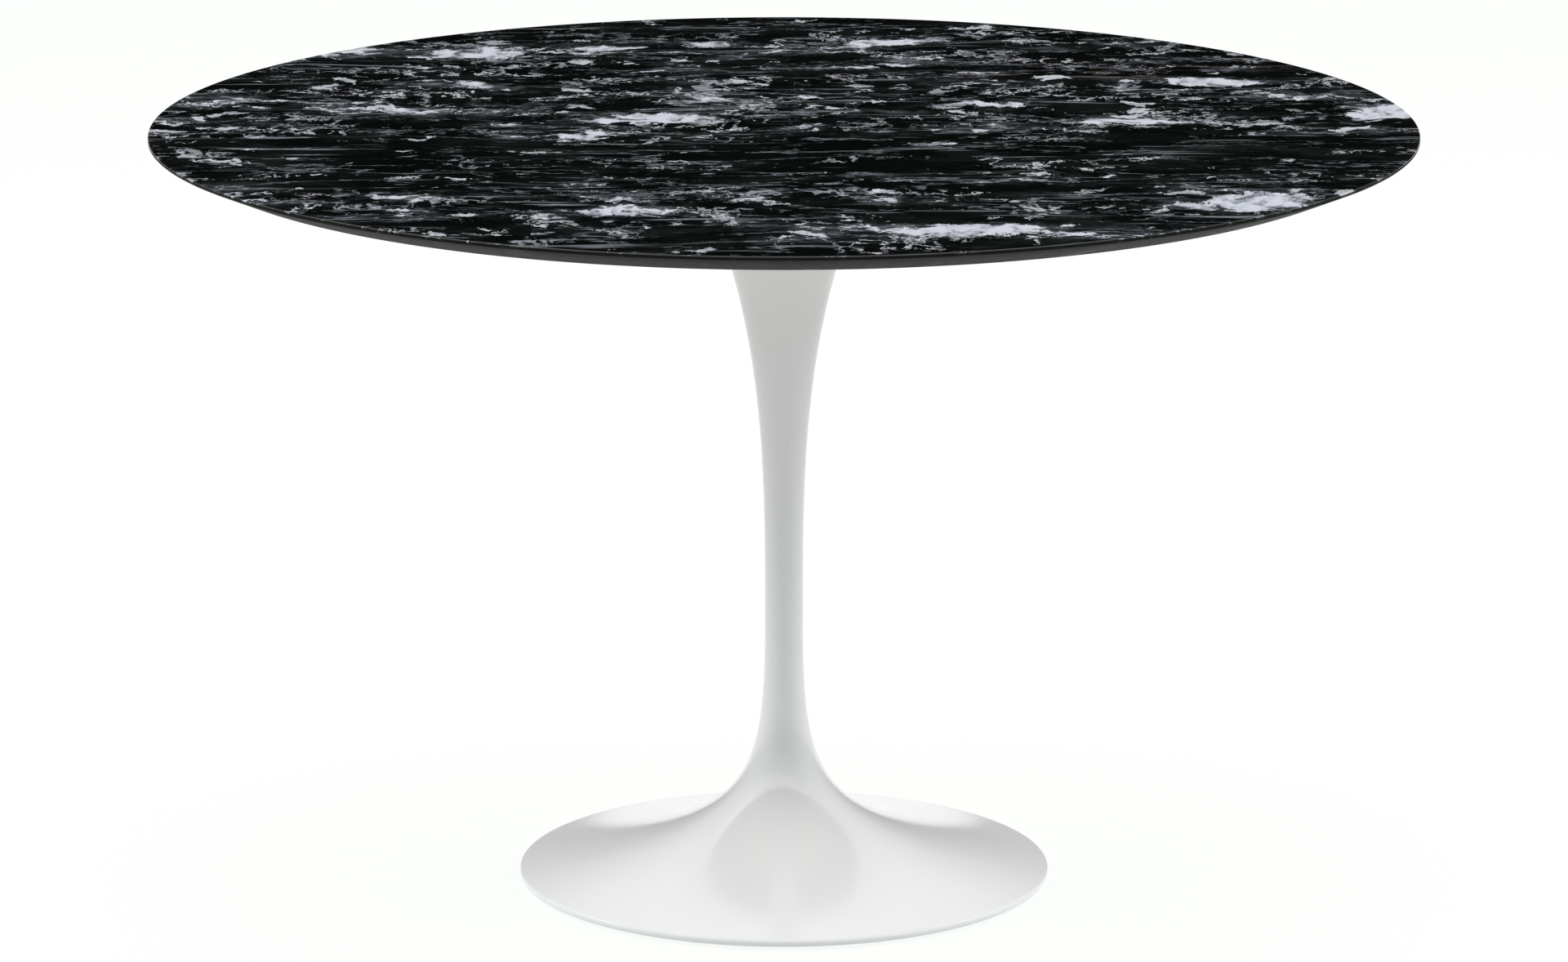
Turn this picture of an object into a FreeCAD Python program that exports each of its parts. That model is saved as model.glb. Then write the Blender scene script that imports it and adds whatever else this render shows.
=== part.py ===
"""Round pedestal table: a stone top on a plywood board, a mounting plate, and a cast trumpet pedestal.

A long tie rod hangs from the mounting plate, runs down the hollow neck and clamps the casting up
against the plate from a hub under the skirt. Six screw glides under the skirt level the table.

Frame: millimetres, +Z up, origin on the floor at the centre of the pedestal.
"""

import FreeCAD, Part
import math
import os

import PartDesign
import Sketcher

FOLDER = "parts"
DOCUMENT = FreeCAD.newDocument("pedestal_table")
SHEET = DOCUMENT.addObject("Spreadsheet::Sheet", "Sizes")

# ---------------------------------------------------------------------------------------------
# Driving dimensions, in millimetres apart from the two counts
# ---------------------------------------------------------------------------------------------

SIZES = {
    # the table as a whole
    "table_height": 735,
    "thread_clearance": 0.05,
    "slip_clearance": 0.2,
    # stone top: a flat disc with a narrow upright edge over a wide undercut bevel
    "top_diameter": 1200,
    "stone_thickness": 20,
    "edge_land": 3.5,
    "edge_bevel": 39,
    "edge_arris": 1.2,
    # plywood board glued under the stone
    "board_inset": 250,
    "board_thickness": 12,
    # mounting plate with its central threaded boss
    "plate_flange": 35,
    "plate_thickness": 6,
    "plate_edge_chamfer": 1.5,
    "boss_wall": 17,
    "boss_depth": 24,
    # screws, washers and inserts that hold the plate to the board
    "plate_screw_count": 8,
    "plate_screw_inset": 17,
    "plate_screw_diameter": 8,
    "plate_screw_tip_room": 1.6,
    "plate_screw_head_overhang": 3,
    "plate_screw_head_height": 4.4,
    "plate_screw_socket": 5,
    "plate_screw_socket_depth": 2.6,
    "plate_hole_clearance": 0.5,
    "plate_washer_width": 4,
    "plate_washer_thickness": 1.6,
    "board_insert_wall": 2,
    "board_insert_cover": 1,
    # gasket between the casting's head and the plate
    "gasket_thickness": 1.5,
    "gasket_inset": 1.5,
    # pedestal casting: outside
    "rim_diameter": 512,
    "rim_clearance": 3,
    "rim_thickness": 6,
    "rim_rounding": 2.6,
    "skirt_run": 99,
    "skirt_rise": 16,
    "knee_offset": 17.5,
    "knee_height": 62,
    "neck_diameter": 37,
    "neck_pull_height": 80,
    "neck_bottom": 249,
    "neck_top": 290,
    "bell_pull": 120,
    "bell_offset": 2.5,
    "bell_drop": 125,
    "head_diameter": 180,
    # pedestal casting: inside
    "head_wall": 8,
    "skirt_wall": 6,
    "rim_flat": 8,
    "ceiling_run": 83,
    "ceiling_rise": 18,
    "ceiling_knee_offset": 31,
    "ceiling_knee_height": 39,
    "ceiling_hub_height": 104.5,
    "hub_diameter": 64,
    "hub_seat_height": 44,
    "rod_bore_clearance": 1,
    "rib_width": 6,
    "rib_hub_overlap": 2,
    "rib_end_inset": 20,
    "rib_clearance": 7,
    # tie rod, its nuts and its washers
    "rod_diameter": 16,
    "rod_top_inset": 3,
    "rod_bottom_height": 16,
    "rod_chamfer": 1.5,
    "nut_wall": 4,
    "nut_chamfer": 1,
    "lock_nut_height": 8,
    "clamp_nut_height": 13,
    "clamp_washer_inset": 4,
    "clamp_washer_thickness": 5,
    "spring_washer_width": 5.5,
    "spring_washer_thickness": 3.5,
    "spring_washer_gap": 2,
    # screw glides
    "glide_count": 6,
    "glide_inset": 76,
    "glide_boss_wall": 7.5,
    "glide_thread_diameter": 8,
    "glide_thread_length": 12.2,
    "glide_tip_room": 0.5,
    "glide_tip_chamfer": 0.8,
    "glide_insert_wall": 1.5,
    "glide_insert_length": 10,
    "glide_hex_overhang": 2.5,
    "glide_hex_height": 3,
    "button_overhang": 2,
    "button_height": 1.9,
    "foot_diameter": 32,
    "foot_floor": 1.6,
    "foot_roof": 2.5,
    "foot_edge": 1.2,
    "foot_gap": 0.2,
}


def fill_sheet():
    """Writes each driving dimension to its own named cell."""
    for row, (name, value) in enumerate(SIZES.items(), start=1):
        SHEET.set(f"A{row}", name)
        SHEET.set(f"B{row}", str(value))
        SHEET.setAlias(f"B{row}", name)
    DOCUMENT.recompute()


class Size:
    """A length and the sheet expression that gives it, so that a sum of sizes stays bound to the sheet."""

    def __init__(self, value, text):
        self.value = value
        self.text = text

    def joined(self, other, sign, value):
        return Size(value, f"({self.text} {sign} {as_size(other).text})")

    def __add__(self, other):
        return self.joined(other, "+", self.value + as_size(other).value)

    def __sub__(self, other):
        return self.joined(other, "-", self.value - as_size(other).value)

    def __mul__(self, other):
        return self.joined(other, "*", self.value * as_size(other).value)

    def __truediv__(self, other):
        return self.joined(other, "/", self.value / as_size(other).value)

    def __neg__(self):
        return Size(-self.value, f"(-{self.text})")


def as_size(number):
    """A plain number as a size of its own."""
    return number if isinstance(number, Size) else Size(float(number), f"{number:.9f}")


def size(name):
    """The named cell of the sheet."""
    return Size(float(getattr(SHEET, name)), f"Sizes.{name}")


def bind(item, field, length):
    """Ties a property of a document object to a size."""
    item.setExpression(field, as_size(length).text)


# ---------------------------------------------------------------------------------------------
# Sketches and features
# ---------------------------------------------------------------------------------------------


def origin_feature(body, role):
    """One of the body's own origin planes or axes."""
    return next(item for item in body.Origin.OriginFeatures if item.Role == role)


def new_body(label):
    body = DOCUMENT.addObject("PartDesign::Body", label)
    body.Label = label
    return body


def new_sketch(body, plane, height=None):
    """An empty sketch on one of the body's origin planes, raised by height along the plane's normal."""
    sketch = body.newObject("Sketcher::SketchObject", f"{body.Name}_sketch")
    sketch.AttachmentSupport = [(origin_feature(body, plane), "")]
    sketch.MapMode = "FlatFace"
    if height is not None:
        bind(sketch, "AttachmentOffset.Base.z", height)
    return sketch


def pin_point(sketch, geometry, end, across, up):
    """Fixes one point of a sketch at a distance across and up from the sketch's origin."""
    for kind, axis, distance in (("DistanceX", -2, across), ("DistanceY", -1, up)):
        distance = as_size(distance)
        if distance.value == 0:
            sketch.addConstraint(Sketcher.Constraint("PointOnObject", geometry, end, axis))
            continue
        place = Sketcher.Constraint(kind, -1, 1, geometry, end, distance.value)
        bind(sketch, f"Constraints[{sketch.addConstraint(place)}]", distance)


def vector(point):
    return FreeCAD.Vector(as_size(point[0]).value, as_size(point[1]).value, 0)


def bezier(points):
    """One polynomial curve whose poles are the points."""
    curve = Part.BSplineCurve()
    degree = len(points) - 1
    ends = [degree + 1, degree + 1]
    curve.buildFromPolesMultsKnots([vector(p) for p in points], ends, [0, 1], False, degree)
    return curve


def outline(sketch, start, *steps):
    """A closed outline. A step that is a point is a straight line to it. A step that is a list of
    points is a smooth curve with those poles, which ends at the last of them."""
    here, edges = start, []
    for step in [*steps, start]:
        poles = [here, *step] if isinstance(step, list) else [here, step]
        if len(poles) > 2:
            shape = bezier(poles)
        else:
            shape = Part.LineSegment(vector(poles[0]), vector(poles[1]))
        edges.append((sketch.addGeometry(shape, False), poles))
        here = poles[-1]
    first = edges[0][0]
    for (edge, _), (following, _) in zip(edges, [*edges[1:], edges[0]]):
        sketch.addConstraint(Sketcher.Constraint("Coincident", edge, 2, following, 1))
    pinned = set()
    for number, (edge, poles) in enumerate(edges):
        ends = {0: number, len(poles) - 1: (number + 1) % len(edges)}
        curved = len(poles) > 2
        if curved:
            handles = sketch.GeometryCount
            sketch.exposeInternalGeometry(edge)
        for place, pole in enumerate(poles):
            corner = ends.get(place)
            if corner in pinned:
                continue
            if curved:
                pin_point(sketch, handles + place, 3, *pole)
            else:
                pin_point(sketch, edge, 2 if place else 1, *pole)
            if corner is not None:
                pinned.add(corner)
    return first


def circle(sketch, diameter, across=0, up=0):
    """A circle of the sketch, by its diameter and its centre."""
    centre = vector((across, up))
    ring = Part.Circle(centre, FreeCAD.Vector(0, 0, 1), diameter.value / 2)
    geometry = sketch.addGeometry(ring, False)
    round_size = Sketcher.Constraint("Diameter", geometry, diameter.value)
    bind(sketch, f"Constraints[{sketch.addConstraint(round_size)}]", diameter)
    if as_size(across).value == 0 and as_size(up).value == 0:
        sketch.addConstraint(Sketcher.Constraint("Coincident", geometry, 3, -1, 1))
    else:
        pin_point(sketch, geometry, 3, across, up)


def hexagon(sketch, across_flats, across=0):
    """A regular hexagon with two corners on the sketch's X axis."""
    reach = across_flats / math.sqrt(3)
    flat = across_flats / 2
    centre = as_size(across)
    outline(
        sketch,
        (centre + reach, 0),
        (centre + reach / 2, flat),
        (centre - reach / 2, flat),
        (centre - reach, 0),
        (centre - reach / 2, -flat),
        (centre + reach / 2, -flat),
    )


def pad(body, sketch, length):
    """Extrudes a sketch upwards."""
    feature = body.newObject("PartDesign::Pad", f"{body.Name}_pad")
    feature.Profile = sketch
    feature.Length = as_size(length).value
    bind(feature, "Length", length)
    return feature


def pocket(body, sketch, depth, downwards):
    """Cuts a sketch into the body by a depth, and checks that something was cut."""
    DOCUMENT.recompute()
    before = body.Shape.Volume
    feature = body.newObject("PartDesign::Pocket", f"{body.Name}_pocket")
    feature.Profile = sketch
    feature.Length = as_size(depth).value
    feature.Reversed = not downwards
    bind(feature, "Length", depth)
    DOCUMENT.recompute()
    if body.Shape.Volume >= before:
        raise RuntimeError(f"{feature.Name} cut nothing")
    return feature


def revolve(body, sketch):
    """Turns a sketch once round the sketch's upright axis."""
    feature = body.newObject("PartDesign::Revolution", f"{body.Name}_revolution")
    feature.Profile = sketch
    feature.ReferenceAxis = (sketch, ["V_Axis"])
    feature.Angle = 360
    return feature


def around(body, features, count):
    """Repeats features in a ring round the Z axis and makes the ring the body's result."""
    ring = body.newObject("PartDesign::PolarPattern", f"{body.Name}_ring")
    ring.Originals = features
    ring.Axis = (origin_feature(body, "Z_Axis"), [""])
    ring.Angle = 360
    ring.Occurrences = int(count.value)
    bind(ring, "Occurrences", count)
    body.Tip = ring
    return ring


def round_edges(body, diameter, *heights):
    """Names of the circular edges of the body that have this diameter and lie at one of the heights."""
    DOCUMENT.recompute()
    found = []
    for number, edge in enumerate(body.Shape.Edges, start=1):
        curve = edge.Curve
        if not isinstance(curve, Part.Circle) or abs(2 * curve.Radius - diameter.value) > 1e-4:
            continue
        if any(abs(curve.Center.z - height.value) < 1e-4 for height in heights):
            found.append(f"Edge{number}")
    if not found:
        raise RuntimeError(f"{body.Label} has no round edge of that size")
    return found


def dress(body, kind, edges, amount):
    """Fillets or chamfers the named edges of the body."""
    last = body.Tip
    feature = body.newObject(f"PartDesign::{kind}", f"{body.Name}_{kind.lower()}")
    feature.Base = (last, edges)
    field = "Radius" if kind == "Fillet" else "Size"
    setattr(feature, field, amount.value)
    bind(feature, field, amount)
    body.Tip = feature
    return feature


def ring_body(label, outer, inner, bottom, thickness):
    """A flat ring or washer with its axis on Z."""
    body = new_body(label)
    sketch = new_sketch(body, "XY_Plane", bottom)
    circle(sketch, outer)
    circle(sketch, inner)
    pad(body, sketch, thickness)
    return body


fill_sheet()

CLEAR = size("thread_clearance") * 2

# Levels of the top's stack, from the floor, worked down from the table's height
STONE_UNDER = size("table_height") - size("stone_thickness")
BOARD_UNDER = STONE_UNDER - size("board_thickness")
PLATE_UNDER = BOARD_UNDER - size("plate_thickness")
HEAD_TOP = PLATE_UNDER - size("gasket_thickness")
BOSS_UNDER = PLATE_UNDER - size("boss_depth")
INSERT_LENGTH = size("board_thickness") - size("board_insert_cover")

# Levels of a glide, worked up from the floor
BUTTON_UNDER = size("foot_floor")
BUTTON_TOP = BUTTON_UNDER + size("button_height")
FOOT_TOP = BUTTON_TOP + size("foot_roof")
HEX_UNDER = FOOT_TOP + size("foot_gap")
HEX_TOP = HEX_UNDER + size("glide_hex_height")
GLIDE_BOSS_UNDER = HEX_TOP + size("slip_clearance")
GLIDE_TIP = HEX_TOP + size("glide_thread_length")

# Outer and inner sizes of the casting, and what is laid out from them
RIM_RADIUS = size("rim_diameter") / 2
RIM_UNDER = size("rim_clearance")
RIM_TOP = RIM_UNDER + size("rim_thickness")
NECK_RADIUS = size("neck_diameter") / 2
HEAD_RADIUS = size("head_diameter") / 2
HUB_RADIUS = size("hub_diameter") / 2
BORE_RADIUS = size("rod_diameter") / 2 + size("rod_bore_clearance")
PLATE_DIAMETER = size("head_diameter") + size("plate_flange") * 2
PLATE_RING = PLATE_DIAMETER / 2 - size("plate_screw_inset")
GLIDE_RING = RIM_RADIUS - size("glide_inset")

# Widths that follow a thread: the thread's diameter and the metal round it
BOARD_INSERT = size("plate_screw_diameter") + size("board_insert_wall") * 2
GLIDE_INSERT = size("glide_thread_diameter") + size("glide_insert_wall") * 2
GLIDE_BOSS = GLIDE_INSERT + size("glide_boss_wall") * 2
NUT_FLATS = size("rod_diameter") + size("nut_wall") * 2
ROD_WASHER_BORE = size("rod_diameter") + size("slip_clearance") * 2


# ---------------------------------------------------------------------------------------------
# The top and what is fixed under it
# ---------------------------------------------------------------------------------------------


def make_marble_top():
    """Stone disc: upright land at the edge, then an undercut bevel down to the flat underside."""
    body = new_body("marble_top")
    radius = size("top_diameter") / 2
    top = size("table_height")
    sketch = new_sketch(body, "XZ_Plane")
    outline(
        sketch,
        (0, STONE_UNDER),
        (radius - size("edge_bevel"), STONE_UNDER),
        (radius, top - size("edge_land")),
        (radius, top),
        (0, top),
    )
    revolve(body, sketch)
    dress(body, "Fillet", round_edges(body, size("top_diameter"), top), size("edge_arris"))
    return body


def make_backing_board():
    """Plywood disc under the stone, with a ring of blind holes for the threaded inserts."""
    body = new_body("backing_board")
    sketch = new_sketch(body, "XY_Plane", BOARD_UNDER)
    circle(sketch, size("top_diameter") - size("board_inset") * 2)
    pad(body, sketch, size("board_thickness"))
    hole = new_sketch(body, "XY_Plane", BOARD_UNDER)
    circle(hole, BOARD_INSERT, PLATE_RING)
    cut = pocket(body, hole, INSERT_LENGTH, downwards=False)
    around(body, [cut], size("plate_screw_count"))
    return body


def make_threaded_inserts():
    """Brass inserts pressed into the board's underside, one to each plate screw."""
    body = new_body("threaded_inserts")
    sketch = new_sketch(body, "XY_Plane", BOARD_UNDER)
    circle(sketch, BOARD_INSERT, PLATE_RING)
    circle(sketch, size("plate_screw_diameter") + CLEAR, PLATE_RING)
    one = pad(body, sketch, INSERT_LENGTH)
    around(body, [one], size("plate_screw_count"))
    return body


def make_mounting_plate():
    """Round plate with a threaded boss in the middle and a ring of screw holes."""
    body = new_body("mounting_plate")
    boss = new_sketch(body, "XY_Plane", BOSS_UNDER)
    circle(boss, size("rod_diameter") + size("boss_wall") * 2)
    circle(boss, size("rod_diameter") + CLEAR)
    pad(body, boss, size("boss_depth"))
    disc = new_sketch(body, "XY_Plane", PLATE_UNDER)
    circle(disc, PLATE_DIAMETER)
    circle(disc, size("rod_diameter") + CLEAR)
    pad(body, disc, size("plate_thickness"))
    edge = round_edges(body, PLATE_DIAMETER, PLATE_UNDER)
    dress(body, "Chamfer", edge, size("plate_edge_chamfer"))
    hole = new_sketch(body, "XY_Plane", BOARD_UNDER)
    circle(hole, size("plate_screw_diameter") + size("plate_hole_clearance") * 2, PLATE_RING)
    cut = pocket(body, hole, size("plate_thickness"), downwards=True)
    around(body, [cut], size("plate_screw_count"))
    return body


def make_plate_washers():
    """Flat washers between the plate screws' heads and the plate."""
    body = new_body("plate_washers")
    sketch = new_sketch(body, "XY_Plane", PLATE_UNDER - size("plate_washer_thickness"))
    circle(sketch, size("plate_screw_diameter") + size("plate_washer_width") * 2, PLATE_RING)
    circle(sketch, size("plate_screw_diameter") + size("slip_clearance") * 2, PLATE_RING)
    one = pad(body, sketch, size("plate_washer_thickness"))
    around(body, [one], size("plate_screw_count"))
    return body


def make_plate_screws():
    """Socket-headed screws, driven upwards through the plate into the board's inserts."""
    body = new_body("plate_screws")
    head_top = PLATE_UNDER - size("plate_washer_thickness")
    head_under = head_top - size("plate_screw_head_height")
    head_sketch = new_sketch(body, "XY_Plane", head_under)
    head_width = size("plate_screw_diameter") + size("plate_screw_head_overhang") * 2
    circle(head_sketch, head_width, PLATE_RING)
    head = pad(body, head_sketch, size("plate_screw_head_height"))
    shank_sketch = new_sketch(body, "XY_Plane", head_top)
    circle(shank_sketch, size("plate_screw_diameter"), PLATE_RING)
    tip = BOARD_UNDER + INSERT_LENGTH - size("plate_screw_tip_room")
    shank = pad(body, shank_sketch, tip - head_top)
    socket_sketch = new_sketch(body, "XY_Plane", head_under)
    hexagon(socket_sketch, size("plate_screw_socket"), PLATE_RING)
    socket = pocket(body, socket_sketch, size("plate_screw_socket_depth"), downwards=False)
    around(body, [head, shank, socket], size("plate_screw_count"))
    return body


def make_head_gasket():
    """Soft ring that beds the casting's head against the plate."""
    outer = size("head_diameter") - size("gasket_inset") * 2
    inner = size("head_diameter") - size("head_wall") * 2
    return ring_body("head_gasket", outer, inner, HEAD_TOP, size("gasket_thickness"))


# ---------------------------------------------------------------------------------------------
# The pedestal casting
# ---------------------------------------------------------------------------------------------


def ceiling_poles(lift):
    """The curve of the skirt's underside, from the hub out to the rim, raised by lift into the metal."""
    inner_edge = RIM_RADIUS - size("rim_flat")
    return [
        (HUB_RADIUS, size("ceiling_hub_height") + lift),
        (HUB_RADIUS + size("ceiling_knee_offset"), size("ceiling_knee_height") + lift),
        (inner_edge - size("ceiling_run"), RIM_UNDER + size("ceiling_rise") + lift),
        (inner_edge, RIM_UNDER + lift),
    ]


def make_casting():
    """The turned shape of the casting: trumpet skirt, slim bored neck and flared hollow head."""
    body = new_body("casting")
    sketch = new_sketch(body, "XZ_Plane")
    skirt = [
        (RIM_RADIUS - size("skirt_run"), RIM_TOP + size("skirt_rise")),
        (NECK_RADIUS + size("knee_offset"), size("knee_height")),
        (NECK_RADIUS, size("neck_pull_height")),
        (NECK_RADIUS, size("neck_bottom")),
    ]
    bell_start = size("neck_top") + size("bell_pull")
    bell_end = HEAD_TOP - size("bell_drop")
    bell = [
        (NECK_RADIUS, bell_start),
        (NECK_RADIUS + size("bell_offset"), bell_end),
        (HEAD_RADIUS, HEAD_TOP),
    ]
    inner_head = HEAD_RADIUS - size("head_wall")
    inner_bell = [
        (NECK_RADIUS + size("bell_offset") - size("head_wall"), bell_end),
        (BORE_RADIUS, bell_start),
        (BORE_RADIUS, size("neck_top")),
    ]
    ceiling = ceiling_poles(as_size(0))
    outline(
        sketch,
        (RIM_RADIUS, RIM_TOP),
        skirt,
        (NECK_RADIUS, size("neck_top")),
        bell,
        (inner_head, HEAD_TOP),
        inner_bell,
        (BORE_RADIUS, size("hub_seat_height")),
        (HUB_RADIUS, size("hub_seat_height")),
        ceiling[0],
        ceiling[1:],
        (RIM_RADIUS, RIM_UNDER),
    )
    revolve(body, sketch)
    edges = round_edges(body, size("rim_diameter"), RIM_UNDER, RIM_TOP)
    dress(body, "Fillet", edges, size("rim_rounding"))
    return body


def make_stiffener_blanks():
    """Six radial ribs and six glide bosses, left tall; the casting's inside trims them."""
    body = new_body("stiffener_blanks")
    tall = size("knee_height") + size("neck_pull_height")
    half = size("rib_width") / 2
    start = HUB_RADIUS - size("rib_hub_overlap")
    end = RIM_RADIUS - size("rib_end_inset")
    rib_sketch = new_sketch(body, "XY_Plane", RIM_UNDER + size("rib_clearance"))
    outline(rib_sketch, (start, -half), (end, -half), (end, half), (start, half))
    rib = pad(body, rib_sketch, tall)
    boss_sketch = new_sketch(body, "XY_Plane", GLIDE_BOSS_UNDER)
    circle(boss_sketch, GLIDE_BOSS, GLIDE_RING)
    boss = pad(body, boss_sketch, tall)
    around(body, [rib, boss], size("glide_count"))
    return body


def make_underside_envelope():
    """The space under the skirt as far up as the middle of its wall, where ribs and bosses may be."""
    body = new_body("underside_envelope")
    sketch = new_sketch(body, "XZ_Plane")
    curve = ceiling_poles(size("skirt_wall") / 2)
    inside_hub = HUB_RADIUS - size("rib_hub_overlap")
    outline(
        sketch,
        (inside_hub, RIM_UNDER),
        (inside_hub, curve[0][1]),
        curve[0],
        curve[1:],
        (RIM_RADIUS - size("rim_flat"), RIM_UNDER),
    )
    revolve(body, sketch)
    return body


def make_glide_hole_cutters():
    """What is bored out of the six glide bosses: a seat for the insert and a pilot for the stud's tip."""
    body = new_body("glide_hole_cutters")
    seat_sketch = new_sketch(body, "XY_Plane", GLIDE_BOSS_UNDER)
    circle(seat_sketch, GLIDE_INSERT, GLIDE_RING)
    seat = pad(body, seat_sketch, size("glide_insert_length"))
    pilot_sketch = new_sketch(body, "XY_Plane", GLIDE_BOSS_UNDER)
    circle(pilot_sketch, size("glide_thread_diameter") + CLEAR, GLIDE_RING)
    room = GLIDE_TIP + size("glide_tip_room") - GLIDE_BOSS_UNDER
    pilot = pad(body, pilot_sketch, room)
    around(body, [seat, pilot], size("glide_count"))
    return body


def make_pedestal():
    """The finished casting: the turned shape, with ribs and bosses under the skirt."""
    stiffeners = DOCUMENT.addObject("Part::Common", "stiffeners")
    stiffeners.Base = make_stiffener_blanks()
    stiffeners.Tool = make_underside_envelope()
    joined = DOCUMENT.addObject("Part::Fuse", "ribbed_casting")
    joined.Base = make_casting()
    joined.Tool = stiffeners
    pedestal = DOCUMENT.addObject("Part::Cut", "pedestal")
    pedestal.Base = joined
    pedestal.Tool = make_glide_hole_cutters()
    pedestal.Label = "pedestal"
    return pedestal


# ---------------------------------------------------------------------------------------------
# The tie rod that clamps the pedestal to the top
# ---------------------------------------------------------------------------------------------


def make_tie_rod():
    """Threaded rod from the plate's boss, down the neck and out below the hub."""
    body = new_body("tie_rod")
    bottom = size("rod_bottom_height")
    top = BOARD_UNDER - size("rod_top_inset")
    sketch = new_sketch(body, "XY_Plane", bottom)
    circle(sketch, size("rod_diameter"))
    pad(body, sketch, top - bottom)
    dress(body, "Chamfer", round_edges(body, size("rod_diameter"), bottom, top), size("rod_chamfer"))
    return body


def make_nut(label, bottom, height):
    """Hexagon nut on the tie rod, with its corners turned off at both faces."""
    blank = new_body(f"{label}_blank")
    sketch = new_sketch(blank, "XY_Plane", bottom)
    hexagon(sketch, NUT_FLATS)
    circle(sketch, size("rod_diameter") + CLEAR)
    pad(blank, sketch, height)
    turned = new_body(f"{label}_turned")
    corner = NUT_FLATS / math.sqrt(3)
    face = corner - size("nut_chamfer") * 2
    section = new_sketch(turned, "XZ_Plane")
    outline(
        section,
        (0, bottom),
        (face, bottom),
        (corner, bottom + size("nut_chamfer")),
        (corner, bottom + height - size("nut_chamfer")),
        (face, bottom + height),
        (0, bottom + height),
    )
    revolve(turned, section)
    nut = DOCUMENT.addObject("Part::Common", label)
    nut.Base = blank
    nut.Tool = turned
    nut.Label = label
    return nut


def make_clamp_washer():
    """Heavy washer that spreads the rod's pull over the hub's seat."""
    outer = size("hub_diameter") - size("clamp_washer_inset") * 2
    thickness = size("clamp_washer_thickness")
    bottom = size("hub_seat_height") - thickness
    return ring_body("clamp_washer", outer, ROD_WASHER_BORE, bottom, thickness)


def make_spring_washer():
    """Split spring washer, flattened by the nut, with its gap across one side."""
    outer = size("rod_diameter") + size("spring_washer_width") * 2
    thickness = size("spring_washer_thickness")
    bottom = size("hub_seat_height") - size("clamp_washer_thickness") - thickness
    body = ring_body("spring_washer", outer, ROD_WASHER_BORE, bottom, thickness)
    slot = new_sketch(body, "XY_Plane", bottom)
    half = size("spring_washer_gap") / 2
    outline(slot, (0, -half), (outer, -half), (outer, half), (0, half))
    pocket(body, slot, thickness, downwards=False)
    return body


def make_tie_rod_set():
    """The rod with its lock nut under the plate's boss and its clamp nut under the hub."""
    clamp_top = size("hub_seat_height") - size("clamp_washer_thickness") - size("spring_washer_thickness")
    lock_height = size("lock_nut_height")
    clamp_height = size("clamp_nut_height")
    return [
        make_tie_rod(),
        make_nut("rod_lock_nut", BOSS_UNDER - lock_height, lock_height),
        make_clamp_washer(),
        make_spring_washer(),
        make_nut("rod_clamp_nut", clamp_top - clamp_height, clamp_height),
    ]


# ---------------------------------------------------------------------------------------------
# The screw glides
# ---------------------------------------------------------------------------------------------


def make_glide_inserts():
    """Brass inserts pressed into the casting's glide bosses."""
    body = new_body("glide_inserts")
    sketch = new_sketch(body, "XY_Plane", GLIDE_BOSS_UNDER)
    circle(sketch, GLIDE_INSERT, GLIDE_RING)
    circle(sketch, size("glide_thread_diameter") + CLEAR, GLIDE_RING)
    one = pad(body, sketch, size("glide_insert_length"))
    around(body, [one], size("glide_count"))
    return body


def place_glide(body, number):
    """Moves a piece that was made on the Z axis to its own glide boss."""
    turn = f"({number} * 360 deg / Sizes.glide_count)"
    body.setExpression("Placement.Base.x", f"{GLIDE_RING.text} * cos{turn}")
    body.setExpression("Placement.Base.y", f"{GLIDE_RING.text} * sin{turn}")


def make_glide_foot(number):
    """Nylon foot, moulded round the stud's button so that the stud turns in it."""
    body = new_body(f"glide_foot_{number + 1}")
    sketch = new_sketch(body, "XZ_Plane")
    radius = size("foot_diameter") / 2
    room = size("thread_clearance")
    neck = size("glide_thread_diameter") / 2 + room
    button = neck + size("button_overhang")
    edge = size("foot_edge")
    outline(
        sketch,
        (0, 0),
        (radius - edge, 0),
        (radius, edge),
        (radius, FOOT_TOP - edge * 2),
        (radius - edge * 2, FOOT_TOP),
        (neck, FOOT_TOP),
        (neck, BUTTON_TOP + room),
        (button, BUTTON_TOP + room),
        (button, BUTTON_UNDER - room),
        (0, BUTTON_UNDER - room),
    )
    revolve(body, sketch)
    place_glide(body, number)
    return body


def make_glide_stud(number):
    """Steel stud: a button held in the foot, a hexagon for the spanner and the thread above it."""
    body = new_body(f"glide_stud_{number + 1}")
    thread = size("glide_thread_diameter")
    for bottom, diameter, length in (
        (BUTTON_UNDER, thread + size("button_overhang") * 2, size("button_height")),
        (BUTTON_TOP, thread, GLIDE_TIP - BUTTON_TOP),
    ):
        sketch = new_sketch(body, "XY_Plane", bottom)
        circle(sketch, diameter)
        pad(body, sketch, length)
    grip = new_sketch(body, "XY_Plane", HEX_UNDER)
    hexagon(grip, thread + size("glide_hex_overhang") * 2)
    pad(body, grip, size("glide_hex_height"))
    tip = round_edges(body, thread, GLIDE_TIP)
    dress(body, "Chamfer", tip, size("glide_tip_chamfer"))
    place_glide(body, number)
    return body


# ---------------------------------------------------------------------------------------------
# Build, check and export
# ---------------------------------------------------------------------------------------------


def make_all():
    """Every sub-part of the table, from the top down."""
    made = [
        make_marble_top(),
        make_backing_board(),
        make_threaded_inserts(),
        make_mounting_plate(),
        make_plate_washers(),
        make_plate_screws(),
        make_head_gasket(),
        make_pedestal(),
        *make_tie_rod_set(),
        make_glide_inserts(),
    ]
    for number in range(int(size("glide_count").value)):
        made.append(make_glide_foot(number))
        made.append(make_glide_stud(number))
    return made


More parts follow.
